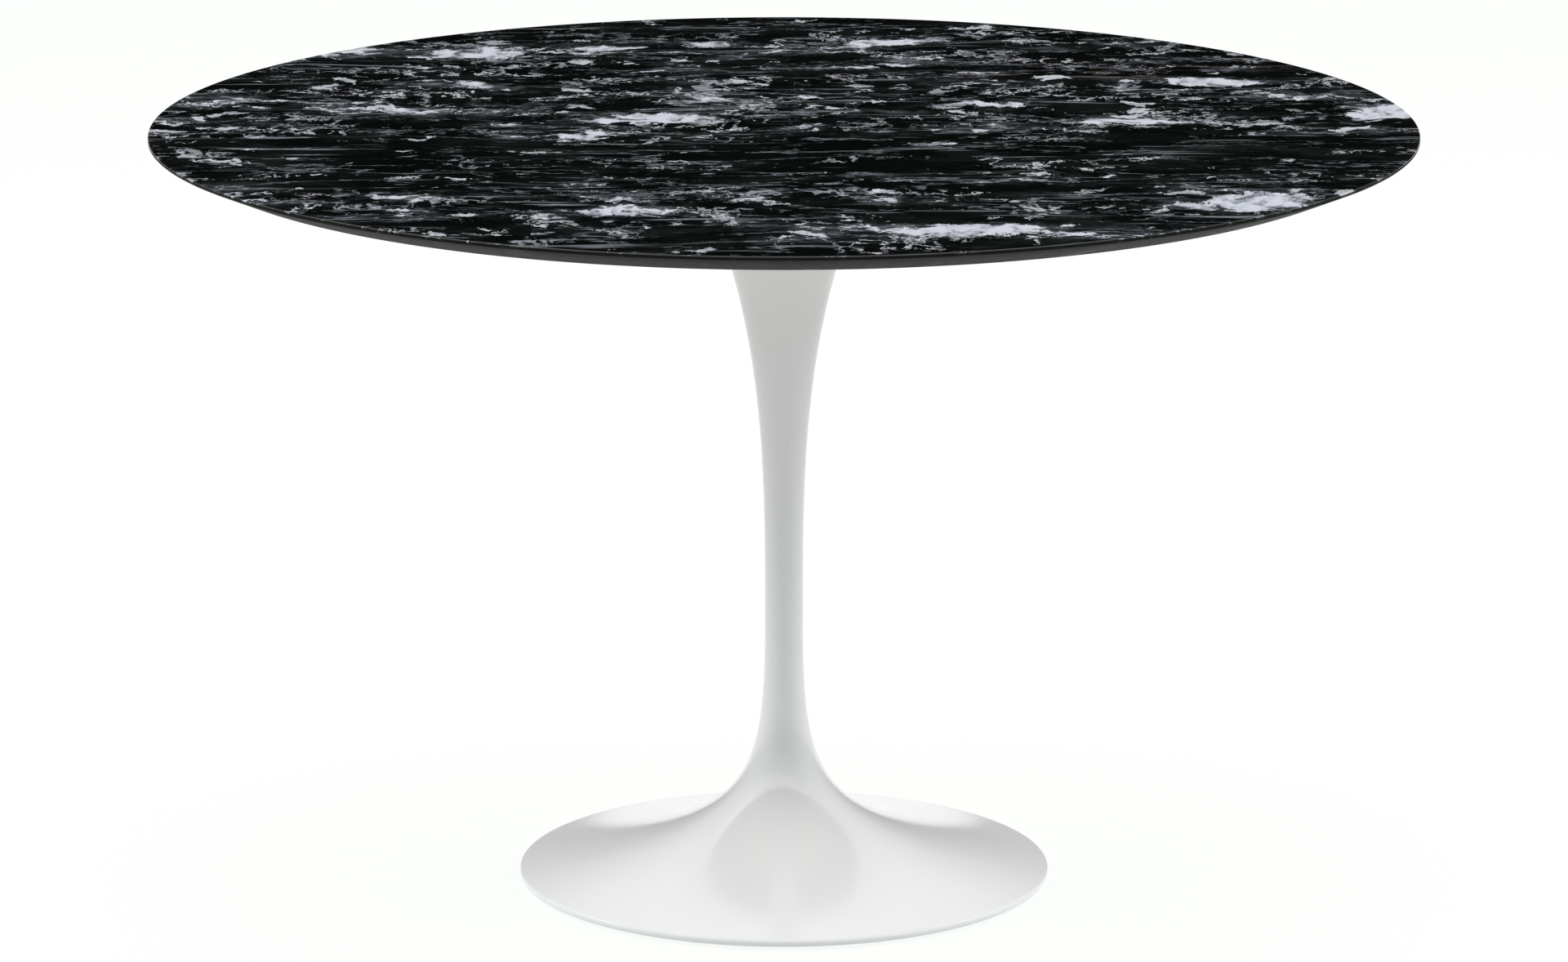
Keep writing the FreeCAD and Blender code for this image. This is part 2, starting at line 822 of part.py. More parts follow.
def check(made):
    """Stops the build if any object of the document failed or any sub-part isn't sound."""
    DOCUMENT.recompute()
    for item in DOCUMENT.Objects:
        if "Invalid" in item.State or "Error" in item.State:
            raise RuntimeError(f"{item.Name} failed: {item.State}")
    for item in made:
        shape = item.Shape
        if shape.isNull() or not shape.isValid() or not shape.Solids:
            raise RuntimeError(f"{item.Label} has no sound solid")


def export(made):
    os.makedirs(FOLDER, exist_ok=True)
    for item in made:
        item.Shape.exportStep(os.path.join(FOLDER, f"{item.Label}.step"))
        print(f"{item.Label}: {len(item.Shape.Solids)} solids, {item.Shape.Volume / 1000:.2f} cm3")


SUBPARTS = make_all()
check(SUBPARTS)
export(SUBPARTS)
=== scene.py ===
import math

import bpy
import numpy as np
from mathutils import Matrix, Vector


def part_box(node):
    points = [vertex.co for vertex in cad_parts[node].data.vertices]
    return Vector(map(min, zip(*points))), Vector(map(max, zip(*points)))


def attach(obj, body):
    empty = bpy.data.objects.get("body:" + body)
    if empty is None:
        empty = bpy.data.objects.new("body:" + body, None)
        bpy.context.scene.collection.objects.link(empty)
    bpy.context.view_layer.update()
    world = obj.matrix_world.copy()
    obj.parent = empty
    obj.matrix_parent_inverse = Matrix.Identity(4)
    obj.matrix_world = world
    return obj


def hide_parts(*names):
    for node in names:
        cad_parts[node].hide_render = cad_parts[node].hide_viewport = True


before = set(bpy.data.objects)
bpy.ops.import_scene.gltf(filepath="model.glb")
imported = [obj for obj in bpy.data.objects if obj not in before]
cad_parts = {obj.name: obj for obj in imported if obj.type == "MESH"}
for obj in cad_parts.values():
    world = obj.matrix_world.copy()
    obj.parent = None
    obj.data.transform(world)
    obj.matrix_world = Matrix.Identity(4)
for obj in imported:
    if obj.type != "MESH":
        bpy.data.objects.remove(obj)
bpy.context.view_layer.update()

# ---------------------------------------------------------------------------------------------
# The view: a long lens a little above the table's height, looking slightly down on the stone.
# ---------------------------------------------------------------------------------------------

CAMERA_DISTANCE = 6.783
CAMERA_HEIGHT = 2.030
CAMERA_TILT = 0.2372  # radians below the horizon

camera_data = bpy.data.cameras.new("camera")
camera_data.sensor_fit = "HORIZONTAL"
camera_data.sensor_width = 36.0
camera_data.lens = 167.4
camera = bpy.data.objects.new("camera", camera_data)
camera.location = (0.0, -CAMERA_DISTANCE, CAMERA_HEIGHT)
camera.rotation_euler = (math.pi / 2 - CAMERA_TILT, 0.0, 0.0)
bpy.context.scene.collection.objects.link(camera)
bpy.context.scene.camera = camera

# ---------------------------------------------------------------------------------------------
# The top: a slab of black marble, 20 mm thick, cut to a disc. Its face is polished. Its edge is a
# narrow land with an eased arris, and a wide bevel is ground away underneath so that it looks thin.
# White and grey veins lie in layers that run across the table from side to side.
# ---------------------------------------------------------------------------------------------

stone_low, stone_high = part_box("marble_top")
STONE_RADIUS = stone_high.x
STONE_UNDER = stone_low.z
STONE_TOP = stone_high.z
EDGE_LAND = 0.0035
EDGE_BEVEL = 0.039
EDGE_ARRIS = 0.0012


def eased(path, corner, radius, steps=8):
    """The path, a list of (radius, height) points, with one corner made an arc that touches both of
    its neighbouring lines: centre on the bisector, at the arc's radius over the sine of half the angle."""
    path = np.asarray(path, float)
    before, here, after = path[corner - 1], path[corner], path[(corner + 1) % len(path)]
    back = (before - here) / np.linalg.norm(before - here)
    on = (after - here) / np.linalg.norm(after - here)
    half = math.acos(np.clip(back @ on, -1, 1)) / 2
    bisector = (back + on) / np.linalg.norm(back + on)
    centre = here + bisector * radius / math.sin(half)
    start = here + back * radius / math.tan(half) - centre
    end = here + on * radius / math.tan(half) - centre
    share = np.linspace(0, 1, steps)[:, None]
    arc = start * (1 - share) + end * share
    arc = centre + radius * arc / np.linalg.norm(arc, axis=1)[:, None]
    return np.vstack([path[:corner], arc, path[corner + 1:]])


def add_piece(name, points, faces, materials, smooth_angle=35.0):
    """A mesh object from arrays of points and faces, smooth except where it bends more than the angle."""
    mesh = bpy.data.meshes.new(name)
    mesh.from_pydata(np.asarray(points).tolist(), [], [face for face in faces])
    mesh.validate()
    mesh.polygons.foreach_set("use_smooth", np.ones(len(mesh.polygons), bool))
    mesh.set_sharp_from_angle(angle=math.radians(smooth_angle))
    for material in materials:
        mesh.materials.append(material)
    piece = bpy.data.objects.new(name, mesh)
    bpy.context.scene.collection.objects.link(piece)
    return piece


def turned(path, segments, closed, centre=(0.0, 0.0)):
    """Points and faces of a turned shape. Point (i, j) is (r cos a, r sin a, z), with (r, z) the i-th of
    the path and a the j-th share of a turn. An end of an open path on the axis becomes one pole."""
    path = np.asarray(path, float)
    rings = path if closed else path[1:-1]
    angle = np.linspace(0, 2 * np.pi, segments, endpoint=False)
    x = centre[0] + np.outer(rings[:, 0], np.cos(angle))
    y = centre[1] + np.outer(rings[:, 0], np.sin(angle))
    z = np.repeat(rings[:, 1:], segments, axis=1)
    points = np.stack([x, y, z], axis=2).reshape(-1, 3)
    place = np.arange(len(rings) * segments).reshape(len(rings), segments)
    upper = np.roll(place, -1, axis=0) if closed else place[1:]
    lower = place if closed else place[:-1]
    quads = np.stack([lower, np.roll(lower, -1, 1), np.roll(upper, -1, 1), upper], axis=2)
    faces = quads.reshape(-1, 4).tolist()
    if not closed:
        poles = [[*centre, path[0, 1]], [*centre, path[-1, 1]]]
        points = np.vstack([points, poles])
        first, last = len(points) - 2, len(points) - 1
        fan = np.stack([np.full(segments, first), np.roll(place[0], -1), place[0]], axis=1)
        faces += fan.tolist()
        fan = np.stack([np.full(segments, last), place[-1], np.roll(place[-1], -1)], axis=1)
        faces += fan.tolist()
    return points, faces


class NodeTree:
    """A shader node tree, with one call that adds a node, sets its fields and joins or sets its inputs."""

    def __init__(self, tree):
        self.tree = tree

    def add(self, kind, inputs=(), **fields):
        item = self.tree.nodes.new(kind if kind.startswith("Node") else f"ShaderNode{kind}")
        for field, value in fields.items():
            setattr(item, field, value)
        for socket, value in dict(inputs).items():
            if isinstance(value, bpy.types.NodeSocket):
                self.tree.links.new(value, item.inputs[socket])
            else:
                item.inputs[socket].default_value = value
        return item

    def math(self, operation, first, second=0.0, third=0.0):
        """One arithmetic step."""
        inputs = {0: first, 1: second, 2: third}
        return self.add("Math", inputs, operation=operation).outputs[0]

    def step(self, value, low, high):
        """0 below low, 1 above high and an S-shaped rise between them."""
        inputs = {"Value": value, "From Min": low, "From Max": high}
        return self.add("MapRange", inputs, interpolation_type="SMOOTHSTEP").outputs[0]

    def stretched(self, vector, scale, turn=0.0):
        """The position with each axis multiplied by its scale, after a turn about Z."""
        turned_place = vector
        if turn:
            turned_place = self.add("Mapping", {"Vector": vector, "Rotation": (0, 0, turn)}).outputs[0]
        inputs = {0: turned_place, 1: scale}
        return self.add("VectorMath", inputs, operation="MULTIPLY").outputs[0]

    def noise(self, vector, scale=1.0, detail=4.0, roughness=0.5, distortion=0.0):
        """Smooth random value, about 0.5 on average."""
        inputs = {"Vector": vector, "Scale": scale, "Detail": detail}
        inputs |= {"Roughness": roughness, "Distortion": distortion}
        return self.add("TexNoise", inputs).outputs["Fac"]

    def mix(self, share, first, second):
        """A colour between two colours."""
        item = self.add("Mix", data_type="RGBA")
        for socket, value in zip((0, 6, 7), (share, first, second)):
            if isinstance(value, bpy.types.NodeSocket):
                self.tree.links.new(value, item.inputs[socket])
            else:
                item.inputs[socket].default_value = value
        return item.outputs[2]

    def ramp(self, value, stops):
        """A grey level read along a list of (position, level) stops."""
        item = self.add("ValToRGB", {"Fac": value})
        steps = item.color_ramp.elements
        for number, (position, level) in enumerate(stops):
            stop = steps[number] if number < 2 else steps.new(position)
            stop.position, stop.color = position, (level, level, level, 1)
        return item.outputs["Color"]

    def bump(self, height, strength, distance):
        inputs = {"Height": height, "Strength": strength, "Distance": distance}
        return self.add("Bump", inputs).outputs["Normal"]

    def here(self):
        """Position in the object's own frame, in metres."""
        return self.add("TexCoord").outputs["Object"]


def new_group(name, inputs, outputs):
    """An empty node group with float or vector inputs and outputs, as name to (kind, default)."""
    group = bpy.data.node_groups.new(name, "ShaderNodeTree")
    for label, (kind, default) in inputs.items():
        socket = group.interface.new_socket(label, in_out="INPUT", socket_type=f"NodeSocket{kind}")
        socket.default_value = default
    for label, kind in outputs.items():
        group.interface.new_socket(label, in_out="OUTPUT", socket_type=f"NodeSocket{kind}")
    tree = NodeTree(group)
    return group, tree, tree.add("NodeGroupInput").outputs, tree.add("NodeGroupOutput")


def new_material(name, slot, **sockets):
    """A material with one Principled shader, its fixed sockets set, for one finish of the record."""
    material = bpy.data.materials.new(name)
    material.use_nodes = True
    tree = NodeTree(material.node_tree)
    shader = material.node_tree.nodes["Principled BSDF"]
    for socket, value in sockets.items():
        shader.inputs[socket.replace("_", " ")].default_value = value
    material["finish"] = slot
    return material, tree, shader


def make_cloud_group():
    """A soft oval spot: 1 at its centre, falling to 0 where the offset over the reach has length 1."""
    inputs = {"Place": ("Vector", (0, 0, 0)), "Centre": ("Vector", (0, 0, 0)), "Reach": ("Vector", (1, 1, 1))}
    group, tree, given, out = new_group("stone_cloud", inputs, {"Amount": "Float"})
    offset = tree.add("VectorMath", {0: given["Place"], 1: given["Centre"]}, operation="SUBTRACT")
    share = tree.add("VectorMath", {0: offset.outputs[0], 1: given["Reach"]}, operation="DIVIDE")
    length = tree.add("VectorMath", {0: share.outputs[0]}, operation="LENGTH").outputs["Value"]
    amount = tree.step(length, 1.25, 0.15)
    tree.tree.links.new(amount, out.inputs["Amount"])
    return group


# Where the stone's palest clouds lie: place across and along the table, half length, half width, strength
CLOUDS = (
    (0.147, -0.490, 0.100, 0.044, 1.00),
    (0.250, -0.520, 0.045, 0.022, 0.75),
    (-0.116, -0.395, 0.080, 0.045, 0.85),
    (0.420, -0.370, 0.085, 0.055, 0.80),
    (0.080, -0.335, 0.050, 0.045, 0.50),
    (-0.320, -0.405, 0.070, 0.040, 0.62),
    (0.560, -0.260, 0.045, 0.040, 0.75),
    (-0.120, 0.040, 0.080, 0.030, 0.90),
    (-0.240, 0.085, 0.100, 0.080, 0.30),
    (0.020, 0.010, 0.035, 0.020, 0.85),
    (0.210, 0.110, 0.060, 0.030, 0.80),
    (0.330, 0.020, 0.090, 0.030, 0.35),
    (0.400, 0.245, 0.080, 0.034, 0.85),
    (0.565, 0.080, 0.045, 0.060, 0.85),
    (-0.456, 0.400, 0.070, 0.040, 0.85),
    (-0.300, 0.400, 0.055, 0.035, 0.90),
    (-0.185, 0.420, 0.060, 0.035, 0.85),
    (-0.090, 0.450, 0.045, 0.024, 0.85),
    (0.115, 0.455, 0.050, 0.035, 0.75),
    (0.235, 0.490, 0.050, 0.030, 0.65),
    (0.380, 0.440, 0.060, 0.030, 0.60),
    (-0.520, 0.120, 0.050, 0.080, 0.50),
)

# How veined the stone is along the table, from its front edge to its back edge
VEINED = (
    (0.00, 0.10),
    (0.06, 0.22),
    (0.16, 0.28),
    (0.24, 0.40),
    (0.29, 0.06),
    (0.44, 0.04),
    (0.49, 0.40),
    (0.68, 0.40),
    (0.73, 0.22),
    (0.79, 0.36),
    (0.88, 0.48),
    (0.92, 0.08),
)


def make_stone_group(cloud):
    """The marble's colour and its pale share at a place. Every pattern reads the place after slow noise
    and quick noise have moved it, so that clouds, veins and streaks flow together and have knotty edges."""
    outputs = {"Color": "Color", "Pale": "Float"}
    group, tree, given, out = new_group("veined_marble", {"Place": ("Vector", (0, 0, 0))}, outputs)
    place = given["Place"]

    def moved(vector, scale, detail, reach):
        """The vector, moved by up to half the reach each way by noise of that scale."""
        inputs = {"Vector": tree.stretched(place, scale), "Scale": 1.0, "Detail": detail, "Roughness": 0.6}
        push = tree.add("TexNoise", inputs).outputs["Color"]
        push = tree.add("VectorMath", {0: push, 1: (0.5, 0.5, 0.5)}, operation="SUBTRACT").outputs[0]
        return tree.add("VectorMath", {0: vector, 1: tree.stretched(push, reach)}, operation="ADD").outputs[0]

    bent = moved(place, (2.2, 3.0, 3.0), 3.0, (0.10, 0.075, 0.03))
    knotty = moved(bent, (34, 20, 20), 5.0, (0.046, 0.056, 0.02))

    across = tree.add("SeparateXYZ", {0: bent}).outputs
    along = tree.math("MULTIPLY_ADD", across["Y"], 0.5 / STONE_RADIUS, 0.5)
    veined = tree.ramp(along, VEINED)

    clouds = None
    for x, y, half_length, half_width, strength in CLOUDS:
        spot = tree.add("Group")
        spot.node_tree = cloud
        tree.tree.links.new(knotty, spot.inputs["Place"])
        spot.inputs["Centre"].default_value = (x, y, STONE_TOP)
        spot.inputs["Reach"].default_value = (half_length, half_width, 0.08)
        amount = tree.math("MULTIPLY", spot.outputs["Amount"], strength)
        clouds = amount if clouds is None else tree.math("MAXIMUM", clouds, amount)

    # clouds and patches: broad noise lifted where a cloud lies and where the stone is veined
    broad = tree.noise(tree.stretched(knotty, (8, 16, 16)), detail=8.0, roughness=0.70)
    lifted = tree.math("MULTIPLY_ADD", clouds, 0.20, broad)
    lifted = tree.math("MULTIPLY_ADD", veined, 0.085, lifted)
    patch = tree.step(lifted, 0.653, 0.674)
    fringe = tree.math("MULTIPLY", tree.step(lifted, 0.54, 0.65), tree.step(veined, 0.05, 0.40))

    # knots: small pale dabs, thick where the stone is veined
    knots = tree.noise(tree.stretched(knotty, (22, 27, 27)), detail=5.0, roughness=0.62)
    knots = tree.step(tree.math("MULTIPLY_ADD", veined, 0.125, knots), 0.650, 0.674)

    # veins: thin lines where a finer noise crosses its middle value, broken up and kept to veined stone
    speck = tree.noise(tree.stretched(knotty, (46, 30, 30)), detail=3.0, roughness=0.6)
    fine = tree.noise(tree.stretched(bent, (17, 15, 15)), detail=5.0, roughness=0.66)
    line_width = tree.math("MULTIPLY_ADD", speck, 0.060, -0.014)
    off_middle = tree.math("ABSOLUTE", tree.math("SUBTRACT", fine, 0.5))
    line = tree.step(tree.math("DIVIDE", off_middle, line_width), 1.0, 0.35)
    near = tree.noise(tree.stretched(bent, (6, 15, 15)), detail=5.0, roughness=0.65)
    near = tree.step(tree.math("MULTIPLY_ADD", veined, 0.16, near), 0.55, 0.66)
    vein = tree.math("MULTIPLY", line, near)

    # long thin veins that wander along the layers
    wander = tree.noise(tree.stretched(bent, (4.5, 19, 19)), detail=5.0, roughness=0.62)
    long_line = tree.step(tree.math("ABSOLUTE", tree.math("SUBTRACT", wander, 0.47)), 0.011, 0.002)
    long_line = tree.math("MULTIPLY", long_line, tree.step(broad, 0.42, 0.56))

    # streaks: dashes drawn out along the layers
    dash = tree.noise(tree.stretched(bent, (7, 105, 105)), detail=2.5, roughness=0.5)
    flock = tree.noise(tree.stretched(bent, (3, 13, 13)), detail=3.0)
    streak = tree.math("MULTIPLY", tree.step(dash, 0.60, 0.69), tree.step(flock, 0.44, 0.60))

    # veins that climb across the layers, mostly near the left end
    climb = tree.noise(tree.stretched(knotty, (9, 2.2, 2.2)), detail=4.0, roughness=0.6)
    climb_line = tree.step(tree.math("ABSOLUTE", tree.math("SUBTRACT", climb, 0.5)), 0.014, 0.003)
    left_end = tree.step(across["X"], -0.30, -0.42)
    climb_near = tree.step(tree.math("MULTIPLY_ADD", left_end, 0.14, near), 0.45, 0.80)
    climb_line = tree.math("MULTIPLY", climb_line, climb_near)

    smoke = tree.noise(tree.stretched(knotty, (7, 22, 22)), detail=6.0, roughness=0.66)
    ground = tree.mix(tree.step(smoke, 0.44, 0.74), (0.0026, 0.0032, 0.0029, 1), (0.011, 0.0135, 0.0125, 1))
    grey = tree.mix(tree.step(smoke, 0.42, 0.60), (0.006, 0.0075, 0.008, 1), (0.085, 0.092, 0.102, 1))
    white = tree.mix(tree.step(speck, 0.38, 0.56), (0.24, 0.26, 0.29, 1), (0.60, 0.62, 0.68, 1))
    white = tree.mix(tree.math("MULTIPLY", tree.step(speck, 0.42, 0.36), 0.75), white, (0.03, 0.033, 0.036, 1))

    # a faint gold tint in the thin layers behind the middle, on the right
    gold = tree.math("MULTIPLY", tree.step(along, 0.69, 0.73), tree.step(along, 0.82, 0.77))
    gold = tree.math("MULTIPLY", gold, tree.step(across["X"], -0.05, 0.12))
    streak_colour = tree.mix(gold, (0.22, 0.23, 0.255, 1), (0.22, 0.18, 0.12, 1))

    colour = tree.mix(tree.math("MULTIPLY", fringe, 0.65), ground, grey)
    colour = tree.mix(tree.math("MULTIPLY", streak, 0.70), colour, streak_colour)
    colour = tree.mix(tree.math("MULTIPLY", climb_line, 0.75), colour, (0.33, 0.35, 0.39, 1))
    colour = tree.mix(tree.math("MULTIPLY", long_line, 0.60), colour, (0.30, 0.32, 0.36, 1))
    vein_colour = tree.mix(tree.step(smoke, 0.34, 0.54), (0.13, 0.14, 0.15, 1), (0.64, 0.65, 0.70, 1))
    colour = tree.mix(tree.math("MULTIPLY", vein, 0.85), colour, vein_colour)
    knot_colour = tree.mix(tree.step(smoke, 0.36, 0.56), (0.10, 0.11, 0.12, 1), (0.56, 0.57, 0.62, 1))
    colour = tree.mix(tree.math("MULTIPLY", knots, 0.9), colour, knot_colour)
    colour = tree.mix(patch, colour, white)
    pale = tree.math("MAXIMUM", patch, tree.math("MAXIMUM", vein, streak))
    tree.tree.links.new(colour, out.inputs["Color"])
    tree.tree.links.new(pale, out.inputs["Pale"])
    return group


STONE_GROUP = make_stone_group(make_cloud_group())


def stone_material(name, painted_shade, edge, **sockets):
    """Marble with one finish. The first number is the share of the plain edge colour laid over the veins:
    painted shade, which keeps the faces that turn sideways or down near black."""
    material, tree, shader = new_material(name, "black_marble", **sockets)
    place = tree.here()
    stone = tree.add("Group")
    stone.node_tree = STONE_GROUP
    tree.tree.links.new(place, stone.inputs["Place"])
    colour = tree.mix(painted_shade, stone.outputs["Color"], edge)
    tree.tree.links.new(colour, shader.inputs["Base Color"])
    return material, tree, shader, place, stone


def polished_stone():
    material, tree, shader, place, stone = stone_material(
        "polished_marble", 0.0, (0, 0, 0, 1), IOR=1.5, Specular_IOR_Level=0.4
    )
    haze = tree.noise(place, scale=9.0, detail=3.0)
    rough = tree.math("MULTIPLY_ADD", haze, 0.03, 0.025)
    rough = tree.math("MULTIPLY_ADD", stone.outputs["Pale"], 0.02, rough)
    tree.tree.links.new(rough, shader.inputs["Roughness"])
    return material


def honed_shaded_stone():
    # Honed finish: rough, with little shine. Its colour is 93 % a plain near-black over the veins, which is painted
    # shade on the edge and underside.
    material, tree, shader, place, _ = stone_material(
        "honed_shaded_marble", 0.93, (0.0075, 0.0090, 0.0070, 1), IOR=1.5, Specular_IOR_Level=0.06
    )
    grind = tree.noise(place, scale=220.0, detail=4.0, roughness=0.65)
    tree.tree.links.new(tree.math("MULTIPLY_ADD", grind, 0.2, 0.5), shader.inputs["Roughness"])
    tree.tree.links.new(tree.bump(grind, 0.15, 0.0003), shader.inputs["Normal"])
    return material


def make_marble_top():
    inner = STONE_RADIUS - EDGE_BEVEL
    fan = np.linspace(0, inner, 14)[:-1]
    under = np.column_stack([fan, np.full(len(fan), STONE_UNDER)])
    face = np.linspace(STONE_RADIUS * 0.995, 0, 16)
    top = np.column_stack([face, np.full(len(face), STONE_TOP)])
    edge = [(inner, STONE_UNDER), (STONE_RADIUS, STONE_TOP - EDGE_LAND), (STONE_RADIUS, STONE_TOP)]
    path = np.vstack([under, edge, top])
    path = eased(path, len(under) + 2, EDGE_ARRIS)
    path = eased(path, len(under) + 1, 0.0008, steps=5)
    points, faces = turned(path, 512, closed=False)
    piece = add_piece("marble_slab", points, faces, [polished_stone(), honed_shaded_stone()], 25.0)
    normals = np.empty(len(faces) * 3)
    piece.data.polygons.foreach_get("normal", normals)
    # Faces turned sideways or down take the honed stone, with its painted shade.
    honed_shaded_faces = normals.reshape(-1, 3)[:, 2] < 0.2
    piece.data.polygons.foreach_set("material_index", honed_shaded_faces.astype(np.int32))
    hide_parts("marble_top")
    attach(piece, "table")


make_marble_top()

# ---------------------------------------------------------------------------------------------
# The backing board: a 12 mm birch plywood disc glued to the stone. It spreads the plate's pull and
# takes the threaded inserts. Its faces show the veneer's grain and its edge shows the plies.
# ---------------------------------------------------------------------------------------------

board_low, board_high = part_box("backing_board")
PLY_THICKNESS = 0.0013


def finish_node(node, material):
    """Gives every material slot of a carried-over CAD node one material."""
    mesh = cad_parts[node].data
    for place in range(len(mesh.materials)):
        mesh.materials[place] = material


def make_wear_group():
    """Handling marks: a fine grain, and a slow mask of rubbed and dusty places, both from 0 to 1."""
    inputs = {"Place": ("Vector", (0, 0, 0)), "Grain": ("Float", 400.0), "Slow": ("Float", 12.0)}
    group, tree, given, out = new_group("handled", inputs, {"Grain": "Float", "Marks": "Float"})
    grain = tree.noise(given["Place"], scale=given["Grain"], detail=3.0, roughness=0.6)
    slow = tree.noise(given["Place"], scale=given["Slow"], detail=5.0, roughness=0.65)
    tree.tree.links.new(grain, out.inputs["Grain"])
    tree.tree.links.new(tree.step(slow, 0.45, 0.70), out.inputs["Marks"])
    return group


WEAR_GROUP = make_wear_group()


def worn(tree, grain, slow):
    """The wear group in a material, with its grain and its slow marks at these scales per metre."""
    item = tree.add("Group")
    item.node_tree = WEAR_GROUP
    tree.tree.links.new(tree.here(), item.inputs["Place"])
    item.inputs["Grain"].default_value = grain
    item.inputs["Slow"].default_value = slow
    return item.outputs


def plywood():
    material, tree, shader = new_material("birch_plywood", "plywood", Specular_IOR_Level=0.3)
    place = tree.here()
    rings = tree.noise(tree.stretched(place, (2.2, 26, 26)), detail=4.0, distortion=0.6)
    grain = tree.noise(tree.stretched(place, (22, 420, 420)), detail=3.0)
    figure = tree.math("MULTIPLY_ADD", grain, 0.35, tree.math("MULTIPLY", rings, 0.65))
    veneer = tree.mix(tree.step(figure, 0.35, 0.65), (0.46, 0.31, 0.17, 1), (0.62, 0.46, 0.28, 1))
    height = tree.add("SeparateXYZ", {0: place}).outputs["Z"]
    layer = tree.math("FRACT", tree.math("DIVIDE", height, PLY_THICKNESS * 2))
    dark_ply = tree.math("MULTIPLY", tree.step(layer, 0.46, 0.54), tree.step(layer, 1.0, 0.92))
    plies = tree.mix(dark_ply, (0.58, 0.43, 0.26, 1), (0.33, 0.20, 0.10, 1))
    facing = tree.add("SeparateXYZ", {0: tree.add("NewGeometry").outputs["Normal"]}).outputs["Z"]
    is_face = tree.step(tree.math("ABSOLUTE", facing), 0.5, 0.8)
    colour = tree.mix(is_face, plies, veneer)
    marks = worn(tree, 260.0, 7.0)
    colour = tree.mix(tree.math("MULTIPLY", marks["Marks"], 0.22), colour, (0.30, 0.20, 0.11, 1))
    tree.tree.links.new(colour, shader.inputs["Base Color"])
    tree.tree.links.new(tree.math("MULTIPLY_ADD", grain, 0.2, 0.5), shader.inputs["Roughness"])
    tree.tree.links.new(tree.bump(grain, 0.25, 0.0003), shader.inputs["Normal"])
    return material


finish_node("backing_board", plywood())

# ---------------------------------------------------------------------------------------------
# The fixings under the board: a sand-cast aluminium plate with a threaded boss, eight zinc-plated
# socket screws with washers driven into brass inserts, and a black rubber gasket under the plate.
# ---------------------------------------------------------------------------------------------


def make_thread_group():
    """Height of a screw thread on a rod that stands on the Z axis: a triangle wave of z
    less the pitch times the turn about the axis."""
    inputs = {"Place": ("Vector", (0, 0, 0)), "Pitch": ("Float", 0.002)}
    group, tree, given, out = new_group("screw_thread", inputs, {"Height": "Float"})
    parts = tree.add("SeparateXYZ", {0: given["Place"]}).outputs
    turn = tree.math("ARCTAN2", parts["Y"], parts["X"])
    turns = tree.math("DIVIDE", turn, 2 * math.pi)
    rise = tree.math("DIVIDE", parts["Z"], given["Pitch"])
    phase = tree.math("FRACT", tree.math("SUBTRACT", rise, turns))
    height = tree.math("PINGPONG", tree.math("MULTIPLY", phase, 2.0), 1.0)
    tree.tree.links.new(height, out.inputs["Height"])
    return group


THREAD_GROUP = make_thread_group()


def zinc_plate(name, thread_pitch=None):
    """Bright zinc plating: cool grey, a little cloudy, with faint straw and blue in it. With a pitch, the
    sides that stand upright carry a thread, and its grooves are painted darker as shade."""
    material, tree, shader = new_material(name, "zinc_steel", Metallic=1.0)
    marks = worn(tree, 1400.0, 45.0)
    hue = tree.noise(tree.here(), scale=70.0, detail=2.0)
    plating = tree.mix(tree.step(hue, 0.42, 0.60), (0.56, 0.59, 0.63, 1), (0.66, 0.64, 0.58, 1))
    colour = tree.mix(tree.math("MULTIPLY", marks["Marks"], 0.5), plating, (0.36, 0.37, 0.39, 1))
    rough = tree.math("MULTIPLY_ADD", marks["Grain"], 0.14, 0.22)
    rough = tree.math("MULTIPLY_ADD", marks["Marks"], 0.18, rough)
    height = tree.math("MULTIPLY", marks["Grain"], 0.06)
    if thread_pitch:
        thread = tree.add("Group")
        thread.node_tree = THREAD_GROUP
        thread.inputs["Pitch"].default_value = thread_pitch
        tree.tree.links.new(tree.here(), thread.inputs["Place"])
        facing = tree.add("SeparateXYZ", {0: tree.add("NewGeometry").outputs["Normal"]}).outputs["Z"]
        upright = tree.step(tree.math("ABSOLUTE", facing), 0.5, 0.2)
        cut = tree.math("MULTIPLY", thread.outputs["Height"], upright)
        height = tree.math("ADD", cut, height)
        # painted shade: the deep half of the thread is darkened in colour
        groove_shade = tree.math("MULTIPLY", tree.step(thread.outputs["Height"], 0.5, 0.1), upright)
        colour = tree.mix(tree.math("MULTIPLY", groove_shade, 0.55), colour, (0.12, 0.12, 0.13, 1))
    tree.tree.links.new(colour, shader.inputs["Base Color"])
    tree.tree.links.new(rough, shader.inputs["Roughness"])
    tree.tree.links.new(tree.bump(height, 0.6, 0.0008), shader.inputs["Normal"])
    return material


def brass():
    material, tree, shader = new_material("turned_brass", "brass", Metallic=1.0)
    marks = worn(tree, 900.0, 60.0)
    colour = tree.mix(marks["Marks"], (0.72, 0.52, 0.22, 1), (0.42, 0.29, 0.13, 1))
    tree.tree.links.new(colour, shader.inputs["Base Color"])
    tree.tree.links.new(tree.math("MULTIPLY_ADD", marks["Grain"], 0.2, 0.24), shader.inputs["Roughness"])
    tree.tree.links.new(tree.bump(marks["Grain"], 0.2, 0.0002), shader.inputs["Normal"])
    return material


